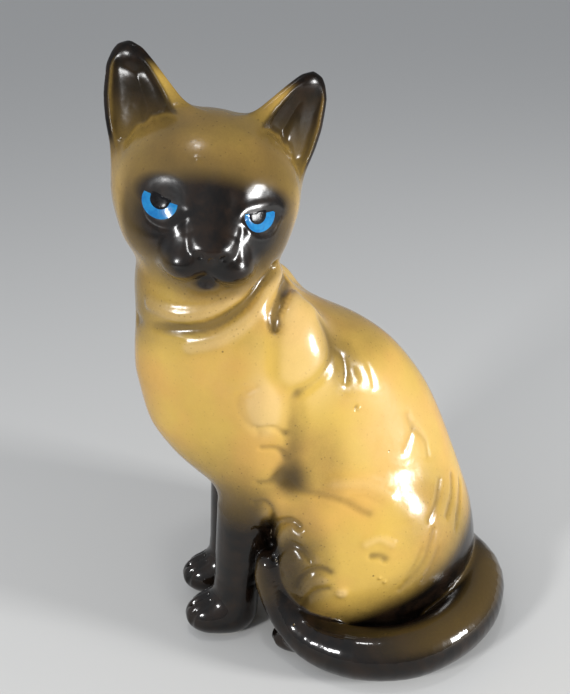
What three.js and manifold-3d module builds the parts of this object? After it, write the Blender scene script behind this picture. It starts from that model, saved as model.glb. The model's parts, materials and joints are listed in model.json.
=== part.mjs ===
// A glazed ceramic cat, seated upright with its head turned over its left shoulder.
// Units are millimetres. +Z is up, the cat's body faces -Y and its left side is +X.
// The figure is slip-cast: a hollow torso and a hollow head, with ears, forelegs, hind
// paws and tail cast on their own and luted on. Luted faces keep a 0.3 mm seam.

import * as THREE from 'three';
import Module from 'manifold-3d';
import { LoftGeometry } from 'three/addons/geometries/LoftGeometry.js';
import { mergeVertices } from 'three/addons/utils/BufferGeometryUtils.js';

const wasm = await Module();
wasm.setup();

// ---------------------------------------------------------------- driving dimensions

const height = 220;          // floor to the tip of the right ear
const seam = 0.3;            // gap between two luted pieces
const wall = 4.5;            // thickness of the cast wall of the torso
const headWall = 6.5;        // thickness of the head's wall
const floorThickness = 5;    // thickness of the closed base
const pourHoleRadius = 12;   // drain hole in the base
const neckHoleRadius = 13;   // open throat between the torso and the head

// Torso outline by level: z, y of the back, y of the front, half width.
const torsoLevels = [
  [-4, 67, -7, 38],
  [10, 70, -8, 40],
  [25, 70.5, -10, 41.5],
  [40, 68.5, -14, 41],
  [55, 64, -27, 38.5],
  [68, 59.5, -41, 35.5],
  [80, 55, -51, 33],
  [92, 49.5, -57, 31.5],
  [103, 42.5, -59, 31],
  [112, 35, -60, 30],
  [120, 25, -59.5, 28.5],
  [127, 12, -58.6, 27.5],
  [134, 1, -58, 26.5],
  [142, -5, -57.6, 25.5],
  [152, -8.5, -56, 24.5],
  [160, -10, -54.5, 23.5],
];

// Foreleg: x, y, z of the bone line and the radius there, elbow to ankle, left side.
const forelegLine = [
  [15.5, -18, 80, 13],
  [14.5, -24, 56, 11.5],
  [12.5, -29, 24, 9],
  [12.5, -31, 8, 9],
];
const forepawCentre = [12.5, -38, 7.5];
const forepawRadii = [9.5, 12.5, 8.2];
const hindPaw = { centre: [32, -3, 6.5], radii: [8.5, 17, 8] };
const rightForelegSetback = 2;

// Tail: x, y, z of its middle and the radius there, from the rump round to the tip.
const tailLine = [
  [0, 59, 14, 13],
  [19, 65.5, 11.5, 12.5],
  [34, 60.5, 10.5, 11.5],
  [44.5, 51, 10, 10.8],
  [52, 38, 10, 10.4],
  [55, 24, 10, 10.2],
  [51.5, 8, 10, 9.8],
  [43, -4, 10.5, 9],
  [35, -11, 14, 8],
  [30, -16, 22, 7],
  [27.5, -19, 31, 6],
  [27, -19, 37, 5.2],
];

// Head frame: +X is forward out of the face, +Y the cat's left, +Z the crown.
const headCentre = [0, -31.1, 169.2];
const headTurn = THREE.MathUtils.degToRad(-1.5);
const headLift = THREE.MathUtils.degToRad(-7.9);
const headTilt = THREE.MathUtils.degToRad(-11.9);

const skull = { centre: [-3, 0, 3], radii: [29, 32, 28] };
const jaw = { centre: [8, 0, -10], radii: [19, 25, 15] };
const noseBridge = { centre: [18, 0, -4], radii: [15.5, 9.5, 10] };
const muzzleLobe = { centre: [23, 6.5, -15.5], radii: [9, 7, 6.2] };
const chin = { centre: [20, 0, -21.5], radii: [7.5, 7, 5] };

// Left ear by level in the head frame: z, y of the inner edge, y of the outer edge,
// thickness. Its plate is swung back about the vertical, outer edge to the rear.
const earLevels = [
  [4, 16, 29, 11],
  [10, 12, 32, 11],
  [17, 8, 34.6, 10.5],
  [24, 6.8, 36.5, 9.5],
  [31, 11.5, 37.5, 8],
  [38, 18.2, 37.6, 6.4],
  [43, 23.2, 36.4, 5.2],
  [46, 26.6, 34.7, 4.2],
  [47.8, 29.3, 32.6, 2.6],
];
const earPlateX = -3;
const earPlateY = 22;
const earSwing = -0.35;
const earHollow = { centre: [2.5, 27, 27], radii: [5.5, 7.6, 17.5] };
const earHollowLean = THREE.MathUtils.degToRad(-20);

const irisCentre = [19.6, 15.6, -0.6];
const irisRadii = [2.2, 6, 5.4];
const pupilCentre = [20.8, 15.9, 0.8];
const pupilRadii = [1.7, 3, 3];
const eyeSplay = THREE.MathUtils.degToRad(32);

// ---------------------------------------------------------------- solids

function solidFrom(geometry) {
  const plain = new THREE.BufferGeometry();
  plain.setAttribute('position', geometry.getAttribute('position'));
  plain.setIndex(geometry.getIndex());
  const merged = mergeVertices(plain, 1e-4);
  const mesh = new wasm.Mesh({
    numProp: 3,
    vertProperties: new Float32Array(merged.getAttribute('position').array),
    triVerts: new Uint32Array(merged.getIndex().array),
  });
  return new wasm.Manifold(mesh);
}

function geometryFrom(solid) {
  const mesh = solid.getMesh();
  const geometry = new THREE.BufferGeometry();
  geometry.setAttribute('position', new THREE.BufferAttribute(mesh.vertProperties, 3));
  geometry.setIndex(new THREE.BufferAttribute(mesh.triVerts, 1));
  geometry.computeVertexNormals();
  return geometry;
}

function joined(solids) {
  return solids.reduce((whole, next) => whole.add(next));
}

function cutBy(solid, cutters) {
  return cutters.reduce((rest, cutter) => rest.subtract(cutter), solid);
}

// An ellipsoid, grown by a margin and placed by a matrix.
function ellipsoid({ centre, radii, turn = [0, 0, 0] }, grow = 0, place = null, detail = 24) {
  const geometry = new THREE.SphereGeometry(1, detail, Math.round(detail * 0.6));
  geometry.scale(radii[0] + grow, radii[1] + grow, radii[2] + grow);
  geometry.applyMatrix4(new THREE.Matrix4().makeRotationFromEuler(new THREE.Euler(...turn)));
  geometry.translate(...centre);
  if (place) geometry.applyMatrix4(place);
  return solidFrom(geometry);
}

function box(low, high) {
  const size = high.map((value, axis) => value - low[axis]);
  const geometry = new THREE.BoxGeometry(...size);
  geometry.translate(...low.map((value, axis) => value + size[axis] / 2));
  return solidFrom(geometry);
}

function uprightCylinder(x, y, low, high, radius) {
  const geometry = new THREE.CylinderGeometry(radius, radius, high - low, 32);
  geometry.rotateX(Math.PI / 2);
  geometry.translate(x, y, (low + high) / 2);
  return solidFrom(geometry);
}

// Rows are [station, ...values]; returns a function of the station.
function smoothTable(rows) {
  const stations = rows.map((row) => row[0]);
  const values = rows.flatMap((row) => row.slice(1));
  const curve = new THREE.CubicInterpolant(stations, values, rows[0].length - 1);
  return (station) => Array.from(curve.evaluate(station));
}

const torsoAt = smoothTable(torsoLevels);

// Stacked oval rings from one level to another, inset by a margin.
function torsoLoft(low, high, steps, inset, sides) {
  const rings = [];
  for (let step = 0; step <= steps; step += 1) {
    const z = THREE.MathUtils.lerp(low, high, step / steps);
    const [back, front, halfWidth] = torsoAt(z);
    const middle = (back + front) / 2;
    const halfDepth = (back - front) / 2 - inset;
    const ring = [];
    for (let side = 0; side < sides; side += 1) {
      const angle = (2 * Math.PI * side) / sides;
      const x = (halfWidth - inset) * Math.cos(angle);
      ring.push(new THREE.Vector3(x, middle + halfDepth * Math.sin(angle), z));
    }
    rings.push(ring);
  }
  return solidFrom(new LoftGeometry(rings, { closed: true, capStart: true, capEnd: true }));
}

// Round rings along a smooth line of [x, y, z, radius] stations, closed by a round end.
function taperedRod(line, steps, grow = 0, sides = 16) {
  const at = smoothTable(line.map((row, index) => [index, ...row]));
  const last = line.length - 1;
  const point = (t) => new THREE.Vector3(...at(t).slice(0, 3));
  const start = point(0);
  const end = point(last);
  const solids = [];
  const rings = [];
  let normal = new THREE.Vector3(0, 0, 1);
  for (let step = 0; step <= steps; step += 1) {
    const t = (last * step) / steps;
    const middle = point(t);
    const ahead = point(Math.min(t + 0.05, last));
    const behind = point(Math.max(t - 0.05, 0));
    const tangent = ahead.sub(behind).normalize();
    if (Math.abs(normal.dot(tangent)) > 0.9) normal = new THREE.Vector3(0, 1, 0);
    normal = normal.clone().addScaledVector(tangent, -normal.dot(tangent)).normalize();
    const binormal = new THREE.Vector3().crossVectors(tangent, normal);
    const radius = at(t)[3] + grow;
    const ring = [];
    for (let side = 0; side < sides; side += 1) {
      const angle = (2 * Math.PI * side) / sides;
      const spoke = normal.clone().multiplyScalar(radius * Math.cos(angle));
      spoke.addScaledVector(binormal, radius * Math.sin(angle));
      ring.push(middle.clone().add(spoke));
    }
    rings.push(ring);
  }
  solids.push(solidFrom(new LoftGeometry(rings, { closed: true, capStart: true, capEnd: true })));
  for (const [centre, radius] of [[start, at(0)[3]], [end, at(last)[3]]]) {
    const ball = { centre: centre.toArray(), radii: [radius, radius, radius] };
    solids.push(ellipsoid(ball, grow, null, sides));
  }
  return joined(solids);
}

// ---------------------------------------------------------------- frames

const headPlace = new THREE.Matrix4()
  .makeTranslation(...headCentre)
  .multiply(new THREE.Matrix4().makeRotationZ(headTurn))
  .multiply(new THREE.Matrix4().makeRotationY(headLift))
  .multiply(new THREE.Matrix4().makeRotationX(headTilt));

function mirrored(shape, side) {
  const [x, y, z] = shape.centre;
  return { ...shape, centre: [x, side * y, z] };
}

const ground = box([-120, -120, -60], [120, 120, 0]);

// ---------------------------------------------------------------- torso

function haunchAndShoulder(side, grow) {
  const shoulder = {
    centre: [side * 19, -14, 108],
    radii: [14, 19, 32],
    turn: [THREE.MathUtils.degToRad(-16), 0, 0],
  };
  const thigh = {
    centre: [side * 27, 16, 34],
    radii: [17.5, 34, 35],
    turn: [THREE.MathUtils.degToRad(20), 0, 0],
  };
  return [ellipsoid(shoulder, grow, null, 18), ellipsoid(thigh, grow, null, 22)];
}

function torsoOuter(grow) {
  const trunk = torsoLoft(-4, 160, 20, -grow, 28);
  return joined([trunk, ...haunchAndShoulder(1, grow), ...haunchAndShoulder(-1, grow)]);
}

function headOuter(grow) {
  const features = [jaw, noseBridge, chin, mirrored(muzzleLobe, 1), mirrored(muzzleLobe, -1)];
  const solids = features.map((shape) => ellipsoid(shape, grow, headPlace, 16));
  return joined([ellipsoid(skull, grow, headPlace, 26), ...solids]);
}

function makeTorso() {
  const cavity = torsoLoft(floorThickness, 161, 11, wall, 18);
  const pourHole = uprightCylinder(0, 30, -5, floorThickness + 1, pourHoleRadius);
  return cutBy(torsoOuter(0), [cavity, pourHole, ground, headOuter(seam)]);
}

// ---------------------------------------------------------------- legs and tail

function forelegOuter(side, grow) {
  const setback = side > 0 ? 0 : rightForelegSetback;
  const line = forelegLine.map(([x, y, z, radius]) => [side * x, y + setback, z, radius]);
  const [x, y, z] = forepawCentre;
  const paw = { centre: [side * x, y + setback, z], radii: forepawRadii };
  return joined([taperedRod(line, 6, grow, 14), ellipsoid(paw, grow, null, 14)]);
}

function hindPawOuter(side, grow) {
  const [x, y, z] = hindPaw.centre;
  return ellipsoid({ ...hindPaw, centre: [side * x, y, z] }, grow, null, 14);
}

function makeForeleg(side) {
  return cutBy(forelegOuter(side, 0), [torsoOuter(seam), ground]);
}

function makeHindPaw(side) {
  return cutBy(hindPawOuter(side, 0), [torsoOuter(seam), forelegOuter(side, seam), ground]);
}

function makeTail() {
  const neighbours = [torsoOuter(seam), forelegOuter(1, seam), hindPawOuter(1, seam), ground];
  return cutBy(taperedRod(tailLine, 28, 0, 12), neighbours);
}

// ---------------------------------------------------------------- head, ears and eyes

function irisSolid(side, grow) {
  const [x, y, z] = irisCentre;
  const shape = { centre: [x, side * y, z], radii: irisRadii, turn: [0, 0, side * eyeSplay] };
  return ellipsoid(shape, grow, headPlace, 12);
}

function pupilSolid(side, grow) {
  const [x, y, z] = pupilCentre;
  const shape = { centre: [x, side * y, z], radii: pupilRadii, turn: [0, 0, side * eyeSplay] };
  return ellipsoid(shape, grow, headPlace, 10);
}

function makeHead() {
  const cavityRadii = skull.radii.map((radius) => radius - headWall);
  const cavity = ellipsoid({ centre: skull.centre, radii: cavityRadii }, 0, headPlace, 18);
  const throat = uprightCylinder(-2, -32, 120, 165, neckHoleRadius);
  const sockets = [1, -1].flatMap((side) => [irisSolid(side, seam), pupilSolid(side, seam)]);
  return cutBy(headOuter(0), [cavity, throat, ...sockets]);
}

function earOuter(side) {
  const rings = earLevels.map(([z, inner, outer, thickness]) => {
    const middle = (inner + outer) / 2;
    const halfWidth = (outer - inner) / 2;
    const sides = 16;
    return Array.from({ length: sides }, (_, index) => {
      const angle = (side * 2 * Math.PI * index) / sides;
      const across = middle + halfWidth * Math.cos(angle);
      const plate = earPlateX + earSwing * (across - earPlateY);
      const x = plate - thickness * 0.5 * Math.sin(angle);
      return new THREE.Vector3(x, side * across, z);
    });
  });
  const geometry = new LoftGeometry(rings, { closed: true, capStart: true, capEnd: true });
  return solidFrom(geometry.applyMatrix4(headPlace));
}

function makeEar(side) {
  const [x, y, z] = earHollow.centre;
  const turn = [side * earHollowLean, 0, 0];
  const hollow = ellipsoid({ ...earHollow, centre: [x, side * y, z], turn }, 0, headPlace, 18);
  return cutBy(earOuter(side), [hollow, headOuter(seam)]);
}

function makeIris(side) {
  return cutBy(irisSolid(side, 0), [pupilSolid(side, seam)]);
}

// ---------------------------------------------------------------- figure

const honey = 0xc39a45;
const black = 0x0d0a09;
const blue = 0x1478b8;
const fawn = 0x8a7038;
const glossy = 0.12;

function piece(name, solid, color) {
  const material = new THREE.MeshStandardMaterial({ color, roughness: glossy, metalness: 0 });
  const mesh = new THREE.Mesh(geometryFrom(solid), material);
  mesh.name = name;
  return mesh;
}

const cat = new THREE.Group();
cat.add(piece('torso', makeTorso(), honey));
cat.add(piece('head', makeHead(), honey));
cat.add(piece('tail', makeTail(), black));
for (const [label, side] of [['left', 1], ['right', -1]]) {
  cat.add(piece(`${label}_ear`, makeEar(side), fawn));
  cat.add(piece(`${label}_foreleg`, makeForeleg(side), black));
  cat.add(piece(`${label}_hind_paw`, makeHindPaw(side), black));
  cat.add(piece(`${label}_iris`, makeIris(side), blue));
  cat.add(piece(`${label}_pupil`, pupilSolid(side, 0), black));
}

// Scaled to its height, with the origin in the middle of the footprint, on the floor.
const bounds = new THREE.Box3().setFromObject(cat);
const middle = bounds.getCenter(new THREE.Vector3());
const scale = height / (bounds.max.z - bounds.min.z);
cat.scale.setScalar(scale);
cat.position.set(-middle.x * scale, -middle.y * scale, -bounds.min.z * scale);

const figure = new THREE.Group();
figure.add(cat);

export default figure;
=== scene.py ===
"""Looks of the seated ceramic cat: one continuous glazed skin, split where the castings
are luted, with airbrushed underglaze shading, painted eyes and a clear gloss coat."""
import json
import math
from functools import reduce

import bpy
import numpy as np
from mathutils import Matrix, Vector


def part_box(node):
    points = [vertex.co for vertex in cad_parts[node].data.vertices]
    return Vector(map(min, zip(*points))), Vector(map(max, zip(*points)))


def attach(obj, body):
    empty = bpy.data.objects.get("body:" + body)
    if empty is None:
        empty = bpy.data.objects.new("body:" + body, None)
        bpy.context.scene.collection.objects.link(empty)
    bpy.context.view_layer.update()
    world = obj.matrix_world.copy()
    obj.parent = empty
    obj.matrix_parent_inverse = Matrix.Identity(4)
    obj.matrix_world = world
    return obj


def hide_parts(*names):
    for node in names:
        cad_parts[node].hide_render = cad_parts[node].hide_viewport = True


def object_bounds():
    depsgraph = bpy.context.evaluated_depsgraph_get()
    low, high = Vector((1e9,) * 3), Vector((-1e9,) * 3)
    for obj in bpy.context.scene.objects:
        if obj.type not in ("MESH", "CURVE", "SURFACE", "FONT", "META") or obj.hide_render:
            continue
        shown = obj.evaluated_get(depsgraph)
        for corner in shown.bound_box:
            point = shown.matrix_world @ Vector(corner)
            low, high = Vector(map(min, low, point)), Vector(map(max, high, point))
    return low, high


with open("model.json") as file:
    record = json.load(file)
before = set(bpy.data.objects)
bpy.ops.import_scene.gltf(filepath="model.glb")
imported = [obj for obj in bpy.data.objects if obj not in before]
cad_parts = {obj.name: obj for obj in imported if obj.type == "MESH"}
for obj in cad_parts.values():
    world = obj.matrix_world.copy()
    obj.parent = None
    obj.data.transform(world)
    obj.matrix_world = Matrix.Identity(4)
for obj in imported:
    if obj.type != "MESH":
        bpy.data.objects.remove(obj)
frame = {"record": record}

CAD_BOX = [list(corner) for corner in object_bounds()]

# ------------------------------------------------------------------ driving values
# The figure is designed in millimetres in the cat's own frame: x = 0 is the middle of
# the body, the body faces -Y, and z = 0 is the floor. One factor and one shift, both
# read from the CAD model, carry it into the shared frame.

DESIGN_HEIGHT = 221.32  # the ear tip's z
RUMP_Y = 70.6  # the torso's rearmost y
VOXEL = 1.0  # step of the grid that the skin is drawn from
COARSE = 4  # steps between the nodes that are sampled first
NORMAL_STEP = 0.2
CHUNK = 100000  # points worked on at a time

LEFT, RIGHT = 1, -1

MM = (CAD_BOX[1][2] - CAD_BOX[0][2]) / DESIGN_HEIGHT
torso_low, torso_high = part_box("torso")
SHIFT = np.array([
    (torso_low[0] + torso_high[0]) / 2,
    torso_high[1] - RUMP_Y * MM,
    CAD_BOX[0][2],
])


def to_frame(points):
    """Design millimetres to the shared frame's metres."""
    return np.asarray(points, float) * MM + SHIFT


# ------------------------------------------------------------------ field tools
# A shape is a distance field: negative inside, positive outside, in millimetres.

def turn_matrix(x=0.0, y=0.0, z=0.0):
    """Rotation about X, then Y, then Z, in degrees."""
    a, b, c = np.radians([x, y, z])
    about_x = np.array([[1, 0, 0], [0, np.cos(a), -np.sin(a)], [0, np.sin(a), np.cos(a)]])
    about_y = np.array([[np.cos(b), 0, np.sin(b)], [0, 1, 0], [-np.sin(b), 0, np.cos(b)]])
    about_z = np.array([[np.cos(c), -np.sin(c), 0], [np.sin(c), np.cos(c), 0], [0, 0, 1]])
    return about_z @ about_y @ about_x


def soft_min(a, b, k):
    h = np.clip(0.5 + 0.5 * (b - a) / k, 0, 1)
    return b * (1 - h) + a * h - k * h * (1 - h)


def soft_max(a, b, k):
    return -soft_min(-a, -b, k)


def smooth(low, high, x):
    """0 at low, 1 at high, eased; low may be the larger."""
    t = np.clip((x - low) / (high - low), 0, 1)
    return t * t * (3 - 2 * t)


def ellipsoid(p, centre, radii, turn=None):
    q = p - np.asarray(centre, float)
    if turn is not None:
        q = q @ turn_matrix(*turn)
    r = np.asarray(radii, float)
    k0 = np.sqrt(((q / r) ** 2).sum(-1))
    k1 = np.sqrt(((q / r ** 2) ** 2).sum(-1))
    return k0 * (k0 - 1) / np.maximum(k1, 1e-6)


def span_gap(p, start, end):
    """Distance to one straight span, and how far along it the nearest point lies."""
    span = end - start
    t = np.clip(((p - start) @ span) / (span @ span), 0, 1)
    return np.linalg.norm(p - (start + t[..., None] * span), axis=-1), t


def line_gap(p, line):
    """Distance to a chain of points."""
    return reduce(np.minimum, (span_gap(p, a, b)[0] for a, b in zip(line[:-1], line[1:])))


def along(p, stations):
    """Distance to a line of [x, y, z, radius] stations, less the radius there."""
    def span_field(a, b):
        gap, t = span_gap(p, a[:3], b[:3])
        return gap - (a[3] + (b[3] - a[3]) * t)
    rows = np.array(stations, float)
    return reduce(np.minimum, (span_field(a, b) for a, b in zip(rows[:-1], rows[1:])))


def curve(stations, pieces=4):
    """A Catmull-Rom line through the stations."""
    rows = np.array(stations, float)
    padded = np.vstack([2 * rows[0] - rows[1], rows, 2 * rows[-1] - rows[-2]])
    out = []
    for i in range(1, len(padded) - 2):
        a, b, c, d = padded[i - 1:i + 3]
        for t in np.arange(pieces) / pieces:
            out.append(0.5 * (2 * b + (c - a) * t + (2 * a - 5 * b + 4 * c - d) * t ** 2
                              + (3 * b - a - 3 * c + d) * t ** 3))
    out.append(rows[-1])
    return np.array(out)


def table(rows):
    """Monotone cubic through rows of [station, ...values]; a function of the station."""
    rows = np.array(rows, float)
    x, values = rows[:, 0], rows[:, 1:]
    step = np.diff(x)
    slope = np.diff(values, axis=0) / step[:, None]
    tangent = np.zeros_like(values)
    product = slope[:-1] * slope[1:]
    total = slope[:-1] + slope[1:]
    mean = 2 * product / np.where(np.abs(total) > 1e-9, total, 1)
    tangent[1:-1] = np.where(product > 0, mean, 0)
    tangent[0] = slope[0]

    def at(station):
        s = np.clip(station, x[0], x[-1])
        i = np.clip(np.searchsorted(x, s) - 1, 0, len(x) - 2)
        t = ((s - x[i]) / step[i])[..., None]
        h = step[i][..., None]
        return ((1 + 2 * t) * (1 - t) ** 2 * values[i] + t * (1 - t) ** 2 * h * tangent[i]
                + t * t * (3 - 2 * t) * values[i + 1] + t * t * (t - 1) * h * tangent[i + 1])
    return at


REACH = 2.4  # widths or radii past which a groove or a swelling is not felt
prepared_lines = {}


def crease(p, d, line, width, depth, weight=None):
    """Presses a soft groove along a line into the field; a negative depth raises a fold."""
    key = tuple(line)
    if key not in prepared_lines:
        prepared_lines[key] = curve(line, 3)
    line = prepared_lines[key]
    reach = REACH * width
    low, high = line.min(0) - reach, line.max(0) + reach
    near = np.flatnonzero((p[:, -1] > low[-1]) & (p[:, -1] < high[-1]))
    near = near[((p[near] > low) & (p[near] < high)).all(-1)]
    if len(near):
        press = depth * np.exp(-(line_gap(p[near], line) / width) ** 2)
        d[near] += press if weight is None else press * weight[near]


def dome(p, d, centre, radii, height):
    """Raises a soft round swelling; a negative height presses a dimple."""
    near = np.flatnonzero(np.abs(p[:, 2] - centre[2]) < REACH * radii[2])
    if len(near):
        k = (((p[near] - np.array(centre, float)) / np.array(radii, float)) ** 2).sum(-1)
        d[near] -= height * np.exp(-k)


def domes(p, d, rows):
    for row in rows:
        dome(p, d, *row)


# ------------------------------------------------------------------ the cat's shape

TORSO_LEVELS = [  # z, y of the back, y of the front, half width
    (-5, 67, -7, 38), (10, 70, -8, 40), (25, 70.5, -10, 41.5), (40, 68.5, -14, 41),
    (55, 64, -27, 38.5), (68, 59.5, -41, 35.5), (80, 55, -51, 33), (92, 49.5, -57, 31.5),
    (103, 42.5, -59, 31), (112, 35, -60, 30), (120, 25, -59.5, 28.5), (127, 12, -58.6, 27.5),
    (134, 1, -58, 26.5), (142, -5, -57.6, 25.5), (152, -8.5, -56, 24.5), (165, -10, -54, 23),
]
# forelegs and tail: x, y, z, radius
FORELEG = [(15.5, -18, 80, 13), (14.5, -24, 56, 11.5), (12.5, -29, 24, 9), (12.5, -31, 8, 9)]
FOREPAW = (12.5, -38, 7.5)
HIND_PAW = (32, -3, 6.5)
RIGHT_SETBACK = 2
TAIL = [
    (0, 59, 14, 13), (19, 65.5, 11.5, 12.5), (34, 60.5, 10.5, 11.5), (44.5, 51, 10, 10.8),
    (52, 38, 10, 10.4), (55, 24, 10, 10.2), (51.5, 8, 10, 9.8), (43, -4, 10.5, 9),
    (35, -11, 14, 8), (30, -16, 22, 7), (27.5, -19, 31, 6), (27, -19, 37, 5.2),
]
HEAD_CENTRE = np.array([0, -31.1, 169.2])
HEAD_TURN = turn_matrix(z=-1.5) @ turn_matrix(y=-7.9) @ turn_matrix(x=-11.9)
EAR_LEVELS = [  # z, y of the inner edge, y of the outer edge, thickness
    (2, 17, 28, 11), (10, 12, 32, 11), (17, 8, 34.6, 10.5), (24, 6.8, 36.5, 9.5),
    (31, 11.5, 37.5, 8), (38, 18.2, 37.6, 6.4), (43, 23.2, 36.4, 5.2), (46, 26.6, 34.7, 4.2),
    (47.8, 29.3, 32.6, 2.6),
]
NOSE_BRIDGE = [(13.6, 0, 1.5, 10.1), (26.0, 0, -10.4, 6.2)]  # in the head frame, as are the eyes
EYEBALL = (13.2, 10.8, -0.8)
EYEBALL_RADIUS = 10.4
EAR_TOP = EAR_LEVELS[-1][0]
POUR_HOLE = (0, 30, 12)  # x, y, radius
CAVITY_CENTRE, CAVITY_RADII = (0, 26, 42), (25, 27, 38)
NECK_TOP = 158  # inside the head
torso_at = table(TORSO_LEVELS)
ear_at = table(EAR_LEVELS)


def torso_field(p):
    levels = torso_at(p[:, 2])
    middle = (levels[:, 0] + levels[:, 1]) / 2
    depth = (levels[:, 0] - levels[:, 1]) / 2
    width = levels[:, 2]
    x, y = p[:, 0], p[:, 1] - middle
    k = np.sqrt((x / width) ** 2 + (y / depth) ** 2)
    g = np.sqrt((x / width ** 2) ** 2 + (y / depth ** 2) ** 2)
    d = np.where(g > 1e-6, (k - 1) * k / np.maximum(g, 1e-6), -20.0) * 0.85
    d = soft_max(d, p[:, 2] - NECK_TOP, 4)
    for side in (LEFT, RIGHT):
        shoulder = ellipsoid(p, (side * 19, -14, 108), (14, 19, 32), (-16, 0, 0))
        thigh = ellipsoid(p, (side * 27, 16, 34), (16.8, 34, 35), (20, 0, 0))
        d = soft_min(soft_min(d, shoulder, 7), thigh, 7)
    return d


def foreleg_field(p, side):
    setback = 0 if side == LEFT else RIGHT_SETBACK
    line = [(side * x, y + setback, z, r) for x, y, z, r in FORELEG]
    x, y, z = FOREPAW
    paw = ellipsoid(p, (side * x, y + setback, z), (9.5, 12.5, 8.2))
    return soft_min(along(p, line), paw, 5)


def hind_paw_field(p, side):
    x, y, z = HIND_PAW
    return ellipsoid(p, (side * x, y, z), (8.5, 17, 8))


tail_line = curve(TAIL, 4) * (1, 1, 1, 0.96)


def tail_field(p):
    return along(p, tail_line)


def in_head(p):
    return (p - HEAD_CENTRE) @ HEAD_TURN


def skull_field(q):
    d = ellipsoid(q, (-3, 0, 3), (29, 32, 28))
    d = soft_min(d, ellipsoid(q, (8, 0, -10), (19, 25, 15)), 9)
    d = soft_min(d, along(q * (1, 0.74, 1), NOSE_BRIDGE), 8)
    for side in (LEFT, RIGHT):
        x, y, z = EYEBALL
        d = soft_min(d, ellipsoid(q, (22.2, side * 7.1, -16.8), (9, 7.9, 6.4)), 3.6)
        dome(q, d, (22, side * 16, 0.5), (8, 8.5, 7.5), -1.0)
        d = soft_min(d, ellipsoid(q, (x, side * y, z), [EYEBALL_RADIUS] * 3), 2.4)
    d = soft_min(d, ellipsoid(q, (28.4, 0, -11.4), (5.2, 6.4, 4.0)), 1.8)
    return soft_min(d, ellipsoid(q, (19.6, 0, -22.3), (7.5, 7, 5)), 1.6)


def ear_places(q, side):
    """Across the ear, up it, ahead of its plate, and across its hollow from -1 to 1."""
    across, up = q[:, 1] * side, q[:, 2]
    inner, outer, thick = ear_at(up).T
    ahead = q[:, 0] + 3 + 0.35 * (across - 22)
    hollow_in = inner + 2.6 + 3.2 * smooth(44, 26, up)
    hollow_out = outer - 1.4
    middle, half = (hollow_in + hollow_out) / 2, np.maximum((hollow_out - hollow_in) / 2, 0.5)
    return across, up, inner, outer, thick, ahead, (across - middle) / half


def ear_field(q, side):
    across, up, inner, outer, thick, ahead, w = ear_places(q, side)
    middle, half = (inner + outer) / 2, (outer - inner) / 2
    u, v = (across - middle) / half, ahead / (thick / 2)
    k = np.sqrt(u ** 2 + v ** 2)
    g = np.sqrt((u / half) ** 2 + (v / (thick / 2)) ** 2)
    d = (k - 1) * k / np.maximum(g, 1e-6) * 0.9
    d = soft_max(soft_max(d, up - EAR_TOP, 2), 4 - up, 2)
    depth = 0.48 * thick * smooth(2, 21, up) * smooth(45, 34, up)
    return d + depth * smooth(0, 0.75, 1 - w * w) * smooth(-1.5, 1.0, ahead)


PIECES = ["torso", "head", "left_ear", "right_ear", "left_foreleg", "right_foreleg",
          "left_hind_paw", "right_hind_paw", "tail"]


def piece_fields(p):
    """One field per casting, in the order of PIECES, before they are blended."""
    q = in_head(p)
    return [torso_field(p), skull_field(q), ear_field(q, LEFT), ear_field(q, RIGHT),
            foreleg_field(p, LEFT), foreleg_field(p, RIGHT), hind_paw_field(p, LEFT),
            hind_paw_field(p, RIGHT), tail_field(p)]


def cavity_field(p):
    """The drain hole in the base and the hollow above it."""
    x, y, radius = POUR_HOLE
    hole = soft_max(np.hypot(p[:, 0] - x, p[:, 1] - y) - radius, p[:, 2] - 12, 1)
    room = soft_max(ellipsoid(p, CAVITY_CENTRE, CAVITY_RADII), 5 - p[:, 2], 3)
    return soft_min(hole, room, 1)


def cat_field(p):
    """The whole glazed surface, without its fine modelling."""
    torso, head, ear_l, ear_r, leg_l, leg_r, paw_l, paw_r, tail = piece_fields(p)
    d = soft_min(torso, leg_l, 6)
    d = soft_min(d, leg_r, 6)
    d = soft_min(soft_min(d, paw_l, 3), paw_r, 3)
    d = soft_min(d, tail, 2)
    d = soft_min(d, soft_min(soft_min(head, ear_l, 6), ear_r, 6), 4)
    d = soft_max(d, -p[:, 2], 1.0)
    return soft_max(d, -cavity_field(p), 1.0)


# ------------------------------------------------------------------ fine modelling
# Each row is (line, width, depth): a groove pressed in, or a fold where depth is negative.

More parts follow.
